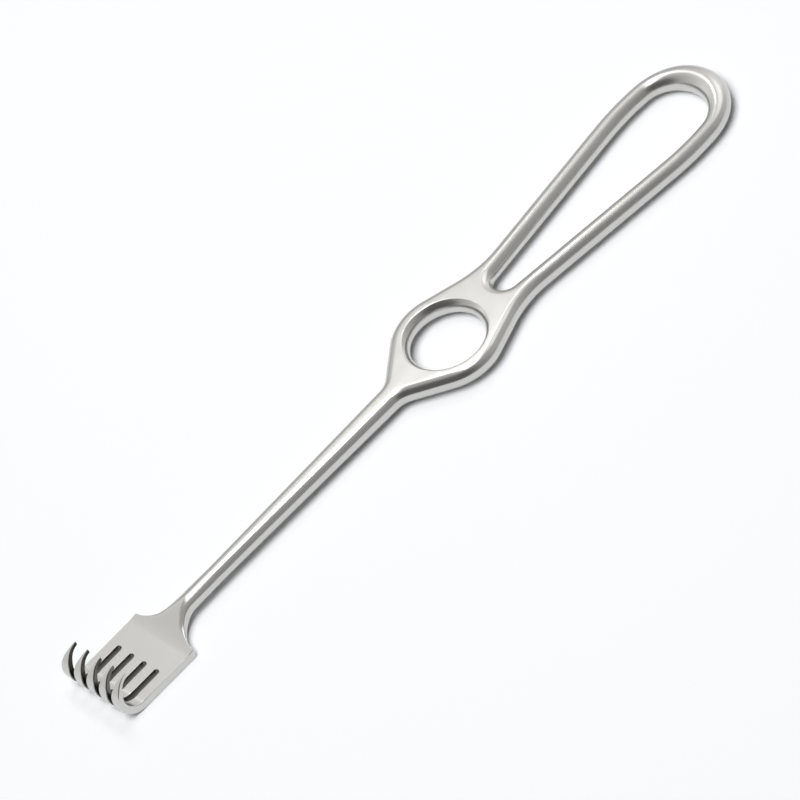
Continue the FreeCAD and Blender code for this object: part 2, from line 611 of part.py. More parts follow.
bodies = [make_grip_loop(), make_finger_ring(), make_shaft(), make_rake_plate()]
bodies += [make_prong(number) for number in range(1, PRONG_COUNT + 1)]
doc.recompute()


def volume_gained(item):
    """The metal that a feature adds to the one before it; less than nothing where it cuts."""
    base = item.BaseFeature
    return item.Shape.Volume - (base.Shape.Volume if base else 0)


# Each sketch must be fixed by its dimensions, each feature must do something, and each pocket
# must take metal away.
for item in doc.Objects:
    if "Invalid" in item.State or "Error" in item.State:
        raise RuntimeError(f"{item.Name} failed: {item.State}")
    if item.TypeId == "Sketcher::SketchObject" and not item.FullyConstrained:
        raise RuntimeError(f"{item.Name} is not fully constrained")
    if item.isDerivedFrom("PartDesign::Feature") and abs(volume_gained(item)) < LEAST_CHANGE:
        raise RuntimeError(f"{item.Name} changes nothing")
    if item.isDerivedFrom("PartDesign::Pocket") and volume_gained(item) > 0:
        raise RuntimeError(f"{item.Name} takes nothing away")
os.makedirs("parts", exist_ok=True)
for body in bodies:
    shape = body.Shape
    if shape.isNull() or not shape.isValid() or len(shape.Solids) != 1:
        raise RuntimeError(f"{body.Label} is not one valid solid")
    print(f"{body.Label}: {shape.Volume:.1f} mm3")
    shape.exportStep(f"parts/{body.Label}.step")
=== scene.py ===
import math
import bpy
import numpy as np
from mathutils import Matrix, Vector
from mathutils.geometry import delaunay_2d_cdt


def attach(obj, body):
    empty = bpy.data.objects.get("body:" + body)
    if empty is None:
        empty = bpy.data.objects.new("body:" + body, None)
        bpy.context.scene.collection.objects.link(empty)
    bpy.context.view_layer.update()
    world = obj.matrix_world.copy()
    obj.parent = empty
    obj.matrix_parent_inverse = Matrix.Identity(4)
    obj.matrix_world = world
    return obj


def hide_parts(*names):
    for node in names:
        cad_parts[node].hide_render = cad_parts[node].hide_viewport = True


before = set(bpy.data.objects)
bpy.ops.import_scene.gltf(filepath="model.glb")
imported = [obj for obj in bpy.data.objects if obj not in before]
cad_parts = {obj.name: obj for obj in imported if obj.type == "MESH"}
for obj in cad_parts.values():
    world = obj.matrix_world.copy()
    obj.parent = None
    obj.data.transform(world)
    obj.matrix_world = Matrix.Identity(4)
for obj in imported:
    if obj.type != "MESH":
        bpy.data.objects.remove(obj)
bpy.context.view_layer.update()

# Prongs. Five sharp hooks of stainless steel, sawn out of the blade's end, filed to a pointed
# arch and bent up. They are drawn in millimetres and unrolled flat, with the root at x = 0 and
# the point towards -x. The instrument is one forging, so its pieces share one outline.
blade_half, blade_thick = 10.5, 2.35
prong_count, slot_width = 5, 1.55
slot_count = prong_count - 1
prong_half = (2 * blade_half - slot_count * slot_width) / (2 * prong_count)
pitch = 2 * prong_half + slot_width
tine_root_x, tine_length = -96.34, 7.4
hook_radius, hook_sweep = 6.26, math.radians(177.0)
point_thick, point_blunt, arch_height = 1.15, 0.15, 4.6
prong_rim, rim_per_thickness, rim_per_width = 0.3, 0.3, 0.55
past_slot_ends = slot_width / 2 + 0.025
hook_length = hook_radius * hook_sweep
point_height = hook_radius * (1 - math.cos(hook_sweep))


def smooth(a, b, x):
    """0 below a, 1 above b, with an even S-curve between them."""
    t = np.clip((np.asarray(x, float) - a) / (b - a), 0, 1)
    return t * t * (3 - 2 * t)


def straight(start, end, step=1.5):
    """Evenly spaced points along a line, at most a step apart."""
    count = max(2, int(math.ceil(math.dist(start, end) / step)) + 1)
    return np.linspace(start, end, count)


def arc(centre, radius, first, last, degrees=3.0):
    """Centre plus radius times cosine and sine, for angles at most some degrees apart."""
    count = max(3, int(math.ceil(abs(math.degrees(last - first)) / degrees)) + 1)
    angle = np.linspace(first, last, count)
    return np.array(centre) + radius * np.stack([np.cos(angle), np.sin(angle)], 1)


def joined(parts):
    """One polyline out of several, without the doubled points where they meet."""
    points = np.concatenate(parts)
    gap = np.linalg.norm(np.diff(points, axis=0), axis=1)
    return points[np.concatenate([[True], gap > 1e-6])]


def mirrored(points):
    """The polyline on the other side of the middle line, run the other way."""
    return points[::-1] * [1, -1]


def prong_half_width(unrolled):
    """Half a prong's width along its hook: full at first, then an arc that closes to the point."""
    height = hook_radius * (1 - np.cos(np.clip(unrolled / hook_radius, 0, math.pi)))
    closes = prong_half - point_blunt
    arch = (closes**2 + arch_height**2) / (2 * closes)
    above = np.clip(height - (point_height - arch_height), 0, arch_height)
    return prong_half - arch + np.sqrt(arch**2 - above**2)


def hook_thickness(unrolled):
    """From the outer arc to the inner one, whose centre is shifted so that the hook thins evenly."""
    angle = np.clip(unrolled / hook_radius, 0, math.pi)
    shift = (blade_thick - point_thick) / 2
    inner = hook_radius - (blade_thick + point_thick) / 2
    return hook_radius + shift * np.cos(angle) - np.sqrt(inner**2 - (shift * np.sin(angle))**2)


def curled(points):
    """Carries the unrolled prongs round: length along the hook over its radius is the angle."""
    unrolled = tine_root_x - tine_length - points[:, 0]
    angle = np.clip(unrolled / hook_radius, 0, math.pi)
    share = points[:, 2] / blade_thick
    radius = hook_radius - share * hook_thickness(np.maximum(unrolled, 0))
    round_x = tine_root_x - tine_length - radius * np.sin(angle)
    round_z = hook_radius - radius * np.cos(angle)
    hook = np.stack([round_x, points[:, 1], round_z], 1)
    return np.where(unrolled[:, None] > 0, hook, points)


def slot_shade_walls(points, outward):
    """1 on walls facing a neighbouring prong across a slot, which get painted shade; 0 elsewhere."""
    local = points[:, 0] - tine_root_x
    outer_prong_edge = 2 * pitch + prong_half_width(np.maximum(-local - tine_length, 0))
    outer_side = np.abs(points[:, 1]) + 0.1 > outer_prong_edge
    sideways = smooth(0.3, 0.8, np.abs(outward[:, 1]))
    across_slot = np.maximum(sideways, local > 0)
    return np.where((local < past_slot_ends) & ~outer_side, across_slot, 0.0)


along_hook = np.linspace(0, hook_length - point_blunt, 52)
arch_side = np.stack([-tine_length - along_hook, prong_half_width(along_hook)], 1)
blunt_middle = (-tine_length - along_hook[-1], 0)
blunt_point = arc(blunt_middle, arch_side[-1, 1], math.pi / 2, 3 * math.pi / 2, 30)
prong = joined([straight((0, prong_half), (-tine_length, prong_half), 1.0), arch_side, blunt_point,
                mirrored(arch_side), straight((-tine_length, -prong_half), (0, -prong_half), 1.0)])
prong_middles = [(2 - number) * pitch for number in range(prong_count)]

# Rake plate. The flat blade that carries the prongs, of the same steel. Round-ended slots run
# back from between the prongs, and hollow shoulders narrow the blade to the neck, which rises
# to the shaft. The blade is ground flat with fine rims, and along the neck they widen to rounds.
neck_seam_x, neck_half, neck_start = -68.84, 2.275, 18.5
shoulder_length, corner_x, corner_radius = 8.8, 9.7, 0.4
rise_start, neck_height, neck_thick_half = 7.6, 3.95, 2.25
blade_rim = 0.16
shoulder_from, shoulder_to = corner_x + 0.3, corner_x + 3.8
neck_from, neck_to = corner_x + 3.3, neck_start + 0.5
round_from, round_to = neck_start - 0.5, neck_start + 20
shoulder_inset, shoulder_fall, shoulder_flatness = 1.15, 0.5, 0.4
neck_inset, neck_fall, neck_fullness = 0.93, 0.75, 0.15
round_inset, round_fullness = 0.985, 0.25

shoulder_drop = blade_half - neck_half
hollow = (shoulder_length**2 + shoulder_drop**2) / (2 * shoulder_drop)
corner_angle = math.atan2(shoulder_drop - hollow, -shoulder_length) % (2 * math.pi)
shoulder = arc((neck_start, neck_half + hollow), hollow, 1.5 * math.pi, corner_angle, 2.0)[:-2]
corner_middle = (corner_x - corner_radius, blade_half - corner_radius)
side_of_blade = joined([
    straight((neck_seam_x - tine_root_x, neck_half), (neck_start, neck_half), 0.75), shoulder,
    arc(corner_middle, corner_radius, 0, math.pi / 2, 15),
    straight((corner_x - corner_radius, blade_half), (0, blade_half), 1.0)])
rake_parts = [side_of_blade]
for number, middle_y in enumerate(prong_middles):
    rake_parts.append(prong + [0, middle_y])
    if number < slot_count:
        slot_middle = (0, middle_y - pitch / 2)
        rake_parts.append(arc(slot_middle, slot_width / 2, math.pi / 2, -math.pi / 2, 12))
rake_parts.append(mirrored(side_of_blade))
rake = joined(rake_parts) + [tine_root_x, 0]


def edge_rounding(points):
    """How far the edge reaches inwards and down at each place, and the power of its curve."""
    local = points[:, 0] - tine_root_x
    thick = half_thickness(points[:, 0], points[:, 1])
    on_shoulder = smooth(shoulder_from, shoulder_to, local)
    on_neck = smooth(neck_from, neck_to, local)
    full_round = smooth(round_from, round_to, local)
    plan = blade_rim + shoulder_inset * on_shoulder + neck_inset * on_neck
    plan += (round_inset * thick - plan) * full_round
    height = blade_rim + shoulder_fall * on_shoulder + neck_fall * on_neck
    height += (thick - height) * full_round
    power = 1 + shoulder_flatness * on_shoulder - neck_fullness * on_neck - round_fullness * full_round
    unrolled = np.maximum(-local - tine_length, 0)
    rim = np.minimum.reduce([np.full(len(local), prong_rim), rim_per_thickness * hook_thickness(unrolled),
                             rim_per_width * prong_half_width(unrolled)])
    on_hook = local < -tine_length
    plan = np.where(on_hook, rim, plan)
    height = np.where(on_hook, rim * blade_thick / hook_thickness(unrolled), height)
    return plan, height, power


# Shaft. A plain bar of the same forging, polished. It widens and thickens evenly from the neck
# to the ring, and it slopes down a little, so that the loop's thick end touches the table too.
ring_x, shaft_seam_x = 13.8, -22.0
shaft_root, shaft_thick_half, thickens_over = 3.25, 2.5, 60.6
handle_drop = math.tan(math.radians(0.1796))
shaft_side = straight((neck_seam_x - ring_x, neck_half), (shaft_seam_x, shaft_root), 2.0)

# Grip loop. A long rod bent to a teardrop: two rails run apart from the ring, and a bow closes
# them, where the rod is thickest. It is forged with the rest and polished to a full round.
# Here and in the next section, x counts from the middle of the finger hole.
rod, bow_rod = 2.45, 3.4
rail_slope = math.radians(6.9)
crotch_radius, crotch_reach, rail_reach, rail_thins_from = 3.6, 21.3, 32.0, 16.0
bow_reach, bow_radius, bow_sweep = 80.8, 12.0, math.radians(85.0)
along = np.array([math.cos(rail_slope), math.sin(rail_slope)])
across = np.array([-math.sin(rail_slope), math.cos(rail_slope)])
rail_mid = np.array([rail_reach, (rail_reach - crotch_reach) * math.tan(rail_slope)
                     + (crotch_radius + rod) / math.cos(rail_slope)])
rail_edge = rail_mid + rod * across
bow_middle = np.array([bow_reach, 0])
bow_side = np.array([math.cos(bow_sweep), math.sin(bow_sweep)])
bow_start = bow_middle + bow_radius * bow_side
stand = (rail_mid - bow_middle) @ across
side_bend = (stand - bow_radius * (bow_side @ across)) / (1 - bow_side @ across)
side_centre = bow_start - side_bend * bow_side
bow_angle = np.radians(np.linspace(85, 0, 35))
bow_ray = np.stack([np.cos(bow_angle), np.sin(bow_angle)], 1)


def bow_rod_radius(angle):
    """The rod's radius round the bow: a cosine wave, thickest at the loop's far end."""
    return rod + (bow_rod - rod) * (0.5 + 0.5 * np.cos(math.pi * np.clip(angle / bow_sweep, -1, 1)))


loop_side = [
    straight(rail_edge, side_centre + (side_bend + rod) * across, 2.0),
    arc(side_centre, side_bend + rod, math.pi / 2 + rail_slope, bow_sweep, 1.5),
    bow_middle + bow_ray * (bow_radius + bow_rod_radius(bow_angle))[:, None]]
inner_side = joined([
    arc((crotch_reach, 0), crotch_radius, math.pi, math.pi / 2 + rail_slope, 4.0),
    straight(np.array([crotch_reach, 0]) + crotch_radius * across, rail_mid - rod * across, 1.5),
    straight(rail_mid - rod * across, side_centre + (side_bend - rod) * across, 2.0),
    arc(side_centre, side_bend - rod, math.pi / 2 + rail_slope, bow_sweep, 1.5),
    bow_middle + bow_ray * (bow_radius - bow_rod_radius(bow_angle))[:, None]])
loop_opening = joined([inner_side, mirrored(inner_side)])[:-1] + [ring_x, 0]

# Finger ring. The forging's broad middle, with a round hole for a finger. Webs run out from it to
# the shaft and to the rails. The hole's edge is one wide polished arc up to a small crisp lip.
ring_outer, hole_radius = 14.65, 9.65
flank, fall = math.radians(39), math.radians(20)
shaft_round, loop_round = 6.0, 28.0
bore_edge, bore_arc, lip_start, lip_size = 1.6, math.radians(50), math.radians(67.5), 0.12
flank_top = ring_outer * np.array([-math.sin(flank), math.cos(flank)])
bend_x = flank_top[0] - (flank_top[1] - shaft_root) / math.tan(flank)
setback = shaft_round * math.tan(flank / 2)
fall_top = ring_outer * np.array([math.sin(fall), math.cos(fall)])
fall_slope, rise_slope = math.tan(fall), math.tan(rail_slope)
meet_x = (fall_top[1] + fall_top[0] * fall_slope - rail_edge[1] + rail_edge[0] * rise_slope) / (
    fall_slope + rise_slope)
meet = np.array([meet_x, rail_edge[1] + (meet_x - rail_edge[0]) * rise_slope])
rail_foot = meet + loop_round * math.tan((fall + rail_slope) / 2) * along
ring_side = [
    straight((shaft_seam_x, shaft_root), (bend_x - setback, shaft_root), 1.0),
    arc((bend_x - setback, shaft_root + shaft_round), shaft_round, 1.5 * math.pi, 1.5 * math.pi + flank),
    arc((0, 0), ring_outer, math.pi / 2 + flank, math.pi / 2 - fall, 2.5),
    arc(rail_foot + loop_round * across, loop_round, 1.5 * math.pi - fall, 1.5 * math.pi + rail_slope, 2.0),
    straight(rail_foot, rail_edge, 1.5)]
finger_hole = arc((ring_x, 0), hole_radius, 2 * math.pi, 0, 2.5)[:-1]


def bore_share(turn):
    """Inset and rise of the hole's edge, 0 to 1: an arc of one radius, then a lip of a smaller."""
    wide = min(turn / lip_start, 1) * bore_arc
    lip = bore_arc + max(turn - lip_start, 0) / (math.pi / 2 - lip_start) * (math.pi / 2 - bore_arc)
    inset = 1 - math.cos(wide) + lip_size * (math.cos(bore_arc) - math.cos(lip))
    rise = math.sin(wide) + lip_size * (math.sin(lip) - math.sin(bore_arc))
    return (inset / (1 - (1 - lip_size) * math.cos(bore_arc)),
            rise / (math.sin(bore_arc) + lip_size * (1 - math.sin(bore_arc))))


# The forging's skin. The pieces above are one bar of steel, so one skin covers them all. Bands of
# faces wrap round every edge of the outline, and a triangulated sheet closes the top and the
# underside between them. Cut at the seams afterwards, the pieces fit each other exactly.
upper = joined([shaft_side] + ring_side + loop_side)
handle = joined([mirrored(upper)[::-1], upper[::-1]]) + [ring_x, 0]
outer = joined([rake, handle])
if np.linalg.norm(outer[0] - outer[-1]) < 1e-6:
    outer = outer[:-1]


def half_thickness(x, y):
    """Half the thickness: even slopes along blade, neck, shaft and rail, plus the bow's swelling."""
    from_ring = x - ring_x
    shaft_share = np.clip((x - neck_seam_x) / thickens_over, 0, 1)
    shaft = neck_thick_half + (shaft_thick_half - neck_thick_half) * shaft_share
    rail = shaft + (rod - shaft_thick_half) * smooth(rail_thins_from, rail_reach, from_ring)
    angle = np.arctan2(np.abs(y), from_ring - bow_reach)
    bow = np.where(from_ring > bow_reach, np.maximum(bow_rod_radius(angle) - rod, 0), 0)
    rise = smooth(rise_start, neck_start, x - tine_root_x)
    blade = blade_thick / 2 + (neck_thick_half - blade_thick / 2) * rise
    return np.where(x < neck_seam_x, blade, rail + bow)


def mid_height(x):
    """Height of the middle of the thickness: level, an S-curve up the neck, then a slow slope."""
    rise = smooth(rise_start, neck_start, x - tine_root_x)
    blade = blade_thick / 2 + (neck_height - blade_thick / 2) * rise
    return np.where(x < neck_seam_x, blade, neck_height - (x - neck_seam_x) * handle_drop)


edge_turns = np.radians(np.linspace(0, 90, 13))
row_count = len(edge_turns)
points, faces, painted_slot_shade, welded = [], [], [], {}
sheet_xy, sheet_ids, sheet_edges = [], [], []
count = 0
for contour in (outer, loop_opening, finger_hole):
    before, after = np.roll(contour, 1, 0), np.roll(contour, -1, 0)
    tangent = after - before
    tangent /= np.linalg.norm(tangent, axis=1)[:, None]
    outward = np.stack([tangent[:, 1], -tangent[:, 0]], 1)
    plan, height, power = edge_rounding(contour)
    if contour is finger_hole:
        plan = np.full(len(contour), bore_edge)
    # Mask of the painted shade on the walls that face a neighbouring prong.
    wall = slot_shade_walls(contour, outward)
    levels = []
    for sign, turns in ((-1, edge_turns[::-1]), (1, edge_turns)):
        for turn in turns:
            if contour is finger_hole:
                inset, rise = bore_share(turn)
            else:
                inset, rise = 1 - max(math.cos(turn), 0)**power, math.sin(turn)**power
            xy = contour - outward * (plan * inset)[:, None]
            thick = half_thickness(xy[:, 0], xy[:, 1])
            z = mid_height(xy[:, 0]) + sign * (thick - height + height * rise)
            levels.append(np.column_stack([xy, z]))
            # The painted shade fades out across the edge's rounding.
            painted_slot_shade.append(wall * smooth(0.2, 0.8, math.cos(turn)))
    size = len(contour)
    for level in range(len(levels) - 1):
        lower = count + level * size + np.arange(size)
        ahead = np.roll(lower, -1)
        faces += np.stack([lower, ahead, ahead + size, lower + size], 1).tolist()
    points += levels
    no_wall = np.flatnonzero(levels[row_count][:, 2] - levels[row_count - 1][:, 2] < 1e-6)
    welded.update(zip((count + row_count * size + no_wall).tolist(),
                      (count + (row_count - 1) * size + no_wall).tolist()))
    top = count + (len(levels) - 1) * size + np.arange(size)
    first = sum(len(part) for part in sheet_xy)
    sheet_xy.append(levels[-1][:, :2])
    sheet_ids.append(np.stack([top, count + np.arange(size)], 1))
    index = first + np.arange(size)
    sheet_edges += np.stack([index, np.roll(index, -1)], 1).tolist()
    count += len(levels) * size

border = np.concatenate(sheet_xy)
border_ids = np.concatenate(sheet_ids)


def inside(places, polygons):
    """Whether places lie inside the polygons: a line drawn from them crosses an odd number of edges."""
    odd = np.zeros(len(places), bool)
    for polygon in polygons:
        a, b = polygon, np.roll(polygon, -1, 0)
        for start in range(0, len(places), 2000):
            q = places[start:start + 2000, None]
            spans = (a[:, 1] > q[..., 1]) != (b[:, 1] > q[..., 1])
            rise = np.where(b[:, 1] == a[:, 1], 1, b[:, 1] - a[:, 1])
            at = a[:, 0] + (q[..., 1] - a[:, 1]) * (b[:, 0] - a[:, 0]) / rise
            odd[start:start + 2000] ^= (np.sum(spans & (q[..., 0] < at), axis=1) % 2).astype(bool)
    return odd


# Points of its own keep the blade's sheet smooth where the neck rises out of it.
grid_step, grid_margin = 0.6, 0.4
grid_x, grid_y = np.meshgrid(np.arange(-6.5, 18.6, grid_step) + tine_root_x,
                             np.arange(-10.2, 10.3, grid_step))
grid = np.stack([grid_x.ravel(), grid_y.ravel()], 1)
apart = np.array([np.min(np.linalg.norm(sheet_xy[0] - spot, axis=1)) for spot in grid])
grid = grid[(apart > grid_margin) & inside(grid, [sheet_xy[0]])]


def nearest_border(x, y):
    """Number of the border point that is nearest to a place."""
    return int(np.argmin(np.hypot(border[:, 0] - x, border[:, 1] - y)))


seams = [((neck_seam_x, neck_half), (neck_seam_x, -neck_half)),
         ((ring_x + shaft_seam_x, shaft_root), (ring_x + shaft_seam_x, -shaft_root))]
for middle_y in prong_middles:
    seams.append(((tine_root_x, middle_y + prong_half), (tine_root_x, middle_y - prong_half)))
for sign in (1, -1):
    seam = [rail_mid + side * rod * across for side in (1, -1)]
    seams.append([(ring_x + end[0], sign * end[1]) for end in seam])
for one, other in seams:
    sheet_edges.append([nearest_border(*one), nearest_border(*other)])

places = np.concatenate([border, grid])
sheet = delaunay_2d_cdt([Vector(place) for place in places.tolist()], sheet_edges, [], 0, 1e-7)
if len(sheet[0]) != len(places):
    raise RuntimeError(f"the outline crosses itself: {len(sheet[0])} points for {len(places)}")
origin_of = np.array([ids[0] for ids in sheet[3]])
triangles = origin_of[np.array(sheet[2])]
triangles = triangles[inside(places[triangles].mean(1), sheet_xy)]
corner = places[triangles]
side_a, side_b = corner[:, 1] - corner[:, 0], corner[:, 2] - corner[:, 0]
turned = side_a[:, 0] * side_b[:, 1] - side_a[:, 1] * side_b[:, 0] < 0
triangles[turned] = triangles[turned][:, ::-1]
grid_top = count + np.arange(len(grid))
top_ids = np.concatenate([border_ids[:, 0], grid_top])
low_ids = np.concatenate([border_ids[:, 1], grid_top + len(grid)])
for sign in (1, -1):
    z = mid_height(grid[:, 0]) + sign * half_thickness(grid[:, 0], grid[:, 1])
    points.append(np.column_stack([grid, z]))
    painted_slot_shade.append(np.zeros(len(grid)))
faces += top_ids[triangles].tolist()
faces += low_ids[triangles][:, ::-1].tolist()
# A full round has no upright wall, so its two middle rows of points are welded into one.
faces = [list(dict.fromkeys(welded.get(number, number) for number in face)) for face in faces]
faces = [face for face in faces if len(face) > 2]
unrolled_skin = np.concatenate(points)
painted_slot_shade = np.concatenate(painted_slot_shade)
skin = curled(unrolled_skin)

# One smooth normal for each point of the whole skin, so that the pieces show no seams: the sum of
# the face normals around it, each weighted by its face's area.
normals = np.zeros_like(skin)
corners = np.array([face if len(face) == 4 else face + [face[2]] for face in faces])
diagonal_a = skin[corners[:, 2]] - skin[corners[:, 0]]
diagonal_b = skin[corners[:, 3]] - skin[corners[:, 1]]
weights = np.cross(diagonal_a, diagonal_b)
for column in range(4):
    np.add.at(normals, corners[:, column], weights)
normals /= np.maximum(np.linalg.norm(normals, axis=1), 1e-12)[:, None]
face_middle = unrolled_skin[corners].mean(1)

# Steel finish. The instrument is satin stainless steel all over. The handle is polished by hand,
# which leaves it faintly wavy and a little softer along the loop, and the rake keeps the duller
# grain of the grinding belt. One group gives both finishes their roughness and their height.
steel_colour = (0.59, 0.583, 0.562, 1)
# Near-black colour of the painted shade on the slot walls.
painted_slot_shade_colour = (0.155, 0.151, 0.137, 1)
grain = bpy.data.node_groups.new("ground_and_polished", "ShaderNodeTree")
for socket, default in (("Waviness", 0.0), ("Grain Depth", 0.0), ("Roughness", 0.2),
                        ("Patchiness", 0.0), ("Softer Loop", 0.0)):
    made = grain.interface.new_socket(socket, in_out="INPUT", socket_type="NodeSocketFloat")
    made.default_value = default
grain.interface.new_socket("Roughness", in_out="OUTPUT", socket_type="NodeSocketFloat")
grain.interface.new_socket("Height", in_out="OUTPUT", socket_type="NodeSocketFloat")
grain_nodes, link_grain = grain.nodes, grain.links.new
given = grain_nodes.new("NodeGroupInput")
result = grain_nodes.new("NodeGroupOutput")
position = grain_nodes.new("ShaderNodeTexCoord")
noises = {}
for name, scale, detail in (("waves", 110.0, 1.0), ("grains", 5200.0, 1.0), ("patches", 420.0, 3.0)):
    noises[name] = grain_nodes.new("ShaderNodeTexNoise")
    noises[name].inputs["Scale"].default_value = scale
    noises[name].inputs["Detail"].default_value = detail
    link_grain(position.outputs["Object"], noises[name].inputs["Vector"])


def arithmetic(nodes, link, operation, *values):
    """A Math node on sockets and numbers; gives its result socket."""
    node = nodes.new("ShaderNodeMath")
    node.operation = operation
    for socket, value in zip(node.inputs, values):
        if isinstance(value, (int, float)):
            socket.default_value = value
        else:
            link(value, socket)
    return node.outputs[0]


def in_grain(operation, *values):
    """A Math node inside the grain group."""
    return arithmetic(grain_nodes, link_grain, operation, *values)


def s_curve(nodes, link, value, low, high, at_low=0.0, at_high=1.0):
    """A Map Range node that goes from one level to the other along an S-curve."""
    node = nodes.new("ShaderNodeMapRange")
    node.interpolation_type = "SMOOTHSTEP"
    node.inputs["From Min"].default_value = low
    node.inputs["From Max"].default_value = high
    node.inputs["To Min"].default_value = at_low
    node.inputs["To Max"].default_value = at_high
    link(value, node.inputs["Value"])
    return node.outputs["Result"]


waves = in_grain("MULTIPLY", noises["waves"].outputs["Fac"], given.outputs["Waviness"])
grains = in_grain("MULTIPLY", noises["grains"].outputs["Fac"], given.outputs["Grain Depth"])
link_grain(in_grain("ADD", waves, grains), result.inputs["Height"])
unevenness = in_grain("SUBTRACT", noises["patches"].outputs["Fac"], 0.5)
split = grain_nodes.new("ShaderNodeSeparateXYZ")
link_grain(position.outputs["Object"], split.inputs["Vector"])
onto_loop = s_curve(grain_nodes, link_grain, split.outputs["X"], 0.02, 0.07)
softer = in_grain("MULTIPLY_ADD", onto_loop, given.outputs["Softer Loop"], given.outputs["Roughness"])
patchy = in_grain("MULTIPLY_ADD", unevenness, given.outputs["Patchiness"], softer)
link_grain(patchy, result.inputs["Roughness"])


def steel(name, roughness, softer_loop, patchiness, waviness, grain_depth):
    """A steel material: the plain metal with the group's roughness and height."""
    made = bpy.data.materials.new(name)
    made.use_nodes = True
    nodes, link = made.node_tree.nodes, made.node_tree.links.new
    shader = nodes["Principled BSDF"]
    shader.inputs["Base Color"].default_value = steel_colour
    shader.inputs["Metallic"].default_value = 1.0
    finish = nodes.new("ShaderNodeGroup")
    finish.node_tree = grain
    finish.inputs["Roughness"].default_value = roughness
    finish.inputs["Softer Loop"].default_value = softer_loop
    finish.inputs["Patchiness"].default_value = patchiness
    finish.inputs["Waviness"].default_value = waviness
    finish.inputs["Grain Depth"].default_value = grain_depth
    bump = nodes.new("ShaderNodeBump")
    bump.inputs["Distance"].default_value = 0.001
    link(finish.outputs["Roughness"], shader.inputs["Roughness"])
    link(finish.outputs["Height"], bump.inputs["Height"])
    link(bump.outputs["Normal"], shader.inputs["Normal"])
    return made


polished = steel("satin_polished_steel", roughness=0.2, softer_loop=0.05, patchiness=0.06,
                 waviness=0.05, grain_depth=0.0001)
ground = steel("fine_ground_steel", roughness=0.25, softer_loop=0.0, patchiness=0.08,
               waviness=0.04, grain_depth=0.0008)

# The walls of the slots and between the hooks that face a neighbouring prong get a near-black colour from
# the points' own mask: painted shade, for the shade between the prongs.
nodes, link = ground.node_tree.nodes, ground.node_tree.links.new
walls = nodes.new("ShaderNodeAttribute")
walls.attribute_name = "painted_slot_shade"
shade = nodes.new("ShaderNodeMix")
shade.data_type = "RGBA"
steel_socket, shade_socket = [socket for socket in shade.inputs if socket.type == "RGBA"]
steel_socket.default_value = steel_colour
shade_socket.default_value = painted_slot_shade_colour
link(walls.outputs["Fac"], shade.inputs["Factor"])
shaded = next(socket for socket in shade.outputs if socket.type == "RGBA")
link(shaded, nodes["Principled BSDF"].inputs["Base Color"])


def piece(node, chosen, finish):
    """The chosen faces of the skin as an object of their own, which stands for one node."""
    chosen = np.flatnonzero(chosen)
    used = np.unique(corners[chosen])
    new_id = np.zeros(len(skin), int)
    new_id[used] = np.arange(len(used))
    mesh = bpy.data.meshes.new("steel_" + node)
    mesh.from_pydata((skin[used] * 0.001).tolist(), [], [new_id[faces[i]].tolist() for i in chosen])
    mesh.polygons.foreach_set("use_smooth", [True] * len(mesh.polygons))
    mesh.normals_split_custom_set_from_vertices(normals[used].tolist())
    # The painted slot shade goes with the points as an attribute.
    mesh.attributes.new("painted_slot_shade", "FLOAT", "POINT").data.foreach_set("value", painted_slot_shade[used])
    mesh.materials.append(finish)
    made = bpy.data.objects.new("steel_" + node, mesh)
    bpy.context.scene.collection.objects.link(made)
    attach(made, "root")
    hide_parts(node)


# The pieces are cut from the skin where the CAD's nodes meet: the prongs at the ends of the slots,
# the rake plate at the end of its neck, the shaft short of the ring, and the loop square across
# its rails. The ring keeps the rest.
rail_station = rail_mid @ along
beyond_ring = (face_middle[:, 0] - ring_x) * along[0] + np.abs(face_middle[:, 1]) * along[1] > rail_station
on_prongs = face_middle[:, 0] < tine_root_x
on_rake = ~on_prongs & (face_middle[:, 0] < neck_seam_x)
on_shaft = (face_middle[:, 0] > neck_seam_x) & (face_middle[:, 0] < ring_x + shaft_seam_x)
on_loop = beyond_ring & (face_middle[:, 0] > ring_x)
on_ring = ~on_prongs & ~on_rake & ~on_shaft & ~on_loop
prong_number = np.clip(np.round(face_middle[:, 1] / pitch) + 3, 1, prong_count).astype(int)
for number in range(1, prong_count + 1):
    piece(f"prong_{number}", on_prongs & (prong_number == number), ground)
piece("rake_plate", on_rake, ground)
piece("shaft", on_shaft, polished)
piece("finger_ring", on_ring, polished)
piece("grip_loop", on_loop, polished)

# Table. The white matt surface that the instrument lies on. Its paint is a slightly cool white,
# which shows in the shadows.
bpy.ops.mesh.primitive_plane_add(size=6.0, location=(0, 0, 0))
table = bpy.context.object
table.name = "white_table"
white = bpy.data.materials.new("white table top")
white.use_nodes = True
top_nodes = white.node_tree.nodes
paint = top_nodes.new("ShaderNodeBsdfDiffuse")
paint.inputs["Color"].default_value = (0.95, 0.965, 0.985, 1)
white.node_tree.links.new(paint.outputs["BSDF"], top_nodes["Material Output"].inputs["Surface"])
top_nodes.remove(top_nodes["Principled BSDF"])
table.data.materials.append(white)

# Light. A pale wall fills the far side of the room, the corner behind the camera is dark, and a
# window high beyond the loop shows in the loop's far end. One long softbox hangs over the table.
# The steel sees all of the room. Matt things get little of it, and a wide lamp instead.
far_side = (0.35, 0.937, 0.0)
far_left = (-0.937, 0.35, 0.0)
dark_corner, corner_from, corner_to, corner_level = (-0.612, -0.612, 0.5), 0.62, 0.92, 0.4
window, window_from, window_to, window_level = (0.66, 0.16, 0.73), 0.92, 0.98, 0.8
# Brightness of the room by side, from the camera's side at -1 to the far side at 1.
room_by_side = [(-1.0, 0.34), (-0.63, 0.38), (-0.35, 0.47), (0.05, 0.54), (0.35, 0.68),
                (0.6, 1.02), (0.8, 0.9), (0.93, 0.62), (1.0, 0.5)]
side_wall_gain, room_on_matt = 0.34, 0.17

